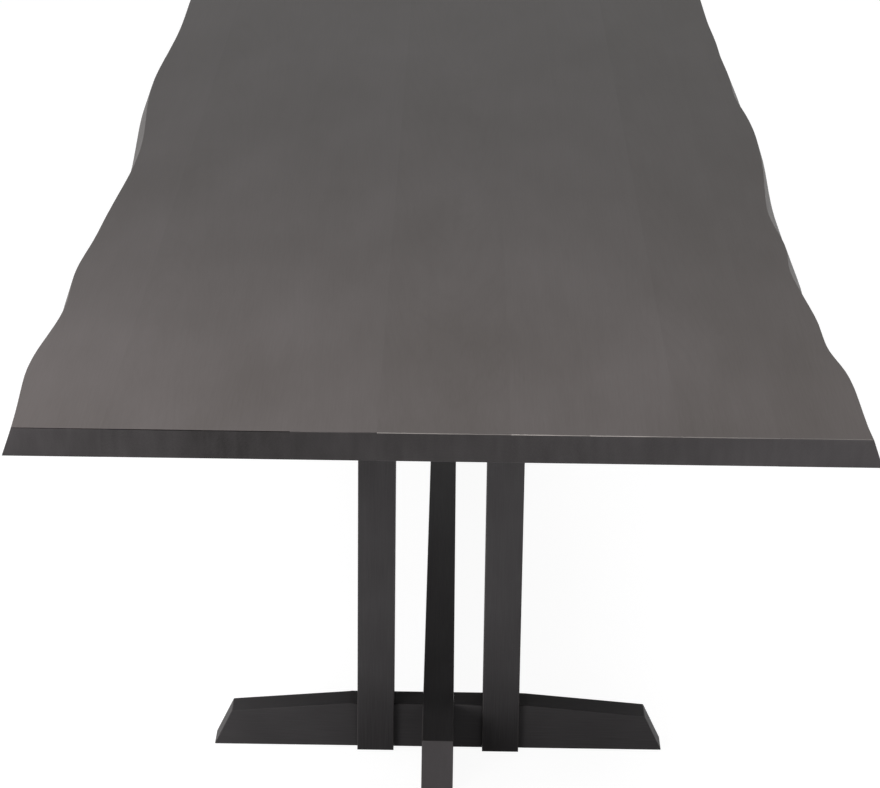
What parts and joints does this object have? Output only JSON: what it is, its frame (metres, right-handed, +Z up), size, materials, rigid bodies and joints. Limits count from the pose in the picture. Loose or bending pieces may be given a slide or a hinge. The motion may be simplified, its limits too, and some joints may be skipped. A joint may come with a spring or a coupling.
{
  "type": "dining table",
  "caption": "Live-edge trestle dining table: a long stained board top with wavy flared edges on double-post pedestals, a floor stretcher and screw-out levelling feet.",
  "frame": {"origin": "on the floor, under the middle of the top's bounding box", "axes": "+Z up, +Y along the table from the near end to the far end, +X across it to the right as seen from the near end"},
  "size_m": [1.1247, 2.743, 0.764],
  "materials": {
    "top_wood": "dark grey stain, satin",
    "base_wood": "dark grey stain, satin",
    "dowel_wood": "stained end grain",
    "bolt_steel": "black oxide",
    "insert_brass": "turned",
    "zinc_steel": "zinc plated",
    "pad_plastic": "moulded black"
  },
  "bodies": {
    "table": {"cleat_bolts": "bolt_steel", "cleat_dowels": "dowel_wood", "cleat_far": "base_wood", "cleat_inserts": "insert_brass", "cleat_near": "base_wood", "cleat_washers": "bolt_steel", "foot_dowels": "dowel_wood", "foot_far": "base_wood", "foot_near": "base_wood", "leveller_inserts": "insert_brass", "live_edge_board_left": "top_wood", "live_edge_board_right": "top_wood", "post_far_left": "base_wood", "post_far_right": "base_wood", "post_near_left": "base_wood", "post_near_right": "base_wood", "stretcher": "base_wood", "stretcher_bolts": "bolt_steel", "stretcher_inserts": "insert_brass", "stretcher_washers": "bolt_steel", "top_board_2": "top_wood", "top_board_3": "top_wood", "top_board_4": "top_wood", "top_board_5": "top_wood", "top_board_6": "top_wood", "top_board_7": "top_wood", "top_board_8": "top_wood"},
    "leveller_pad_near_left": {"pad_near_left": "pad_plastic"},
    "leveller_pad_near_right": {"pad_near_right": "pad_plastic"},
    "leveller_pad_near_toe": {"pad_near_toe": "pad_plastic"},
    "leveller_pad_far_left": {"pad_far_left": "pad_plastic"},
    "leveller_pad_far_right": {"pad_far_right": "pad_plastic"},
    "leveller_pad_far_toe": {"pad_far_toe": "pad_plastic"},
    "leveller_stem_near_left": {"stem_near_left": "zinc_steel"},
    "leveller_stem_near_right": {"stem_near_right": "zinc_steel"},
    "leveller_stem_near_toe": {"stem_near_toe": "zinc_steel"},
    "leveller_stem_far_left": {"stem_far_left": "zinc_steel"},
    "leveller_stem_far_right": {"stem_far_right": "zinc_steel"},
    "leveller_stem_far_toe": {"stem_far_toe": "zinc_steel"}
  },
  "joints": [
    {"name": "leveller_near_left_travel", "type": "slide", "parent": "table", "child": "leveller_pad_near_left", "axis": [0, 0, -1], "range_m": [0, 0.012]},
    {"name": "leveller_near_right_travel", "type": "slide", "parent": "table", "child": "leveller_pad_near_right", "axis": [0, 0, -1], "range_m": [0, 0.012]},
    {"name": "leveller_near_toe_travel", "type": "slide", "parent": "table", "child": "leveller_pad_near_toe", "axis": [0, 0, -1], "range_m": [0, 0.012]},
    {"name": "leveller_far_left_travel", "type": "slide", "parent": "table", "child": "leveller_pad_far_left", "axis": [0, 0, -1], "range_m": [0, 0.012]},
    {"name": "leveller_far_right_travel", "type": "slide", "parent": "table", "child": "leveller_pad_far_right", "axis": [0, 0, -1], "range_m": [0, 0.012]},
    {"name": "leveller_far_toe_travel", "type": "slide", "parent": "table", "child": "leveller_pad_far_toe", "axis": [0, 0, -1], "range_m": [0, 0.012]},
    {"name": "leveller_near_left_turn", "type": "hinge", "parent": "leveller_pad_near_left", "child": "leveller_stem_near_left", "pos_m": [-0.2765, -0.723, 0], "axis": [0, 0, -1], "range_deg": [-36, 3492]},
    {"name": "leveller_near_right_turn", "type": "hinge", "parent": "leveller_pad_near_right", "child": "leveller_stem_near_right", "pos_m": [0.2765, -0.723, 0], "axis": [0, 0, -1], "range_deg": [-36, 3492]},
    {"name": "leveller_near_toe_turn", "type": "hinge", "parent": "leveller_pad_near_toe", "child": "leveller_stem_near_toe", "pos_m": [0, -0.826, 0], "axis": [0, 0, -1], "range_deg": [-36, 3492]},
    {"name": "leveller_far_left_turn", "type": "hinge", "parent": "leveller_pad_far_left", "child": "leveller_stem_far_left", "pos_m": [-0.2765, 0.723, 0], "axis": [0, 0, -1], "range_deg": [-36, 3492]},
    {"name": "leveller_far_right_turn", "type": "hinge", "parent": "leveller_pad_far_right", "child": "leveller_stem_far_right", "pos_m": [0.2765, 0.723, 0], "axis": [0, 0, -1], "range_deg": [-36, 3492]},
    {"name": "leveller_far_toe_turn", "type": "hinge", "parent": "leveller_pad_far_toe", "child": "leveller_stem_far_toe", "pos_m": [0, 0.826, 0], "axis": [0, 0, -1], "range_deg": [-36, 3492]}
  ],
  "couplings": [
    {"joint": "leveller_near_left_turn", "follows": "leveller_near_left_travel", "rad_per_m": 5026.5},
    {"joint": "leveller_near_right_turn", "follows": "leveller_near_right_travel", "rad_per_m": 5026.5},
    {"joint": "leveller_near_toe_turn", "follows": "leveller_near_toe_travel", "rad_per_m": 5026.5},
    {"joint": "leveller_far_left_turn", "follows": "leveller_far_left_travel", "rad_per_m": 5026.5},
    {"joint": "leveller_far_right_turn", "follows": "leveller_far_right_travel", "rad_per_m": 5026.5},
    {"joint": "leveller_far_toe_turn", "follows": "leveller_far_toe_travel", "rad_per_m": 5026.5}
  ]
}
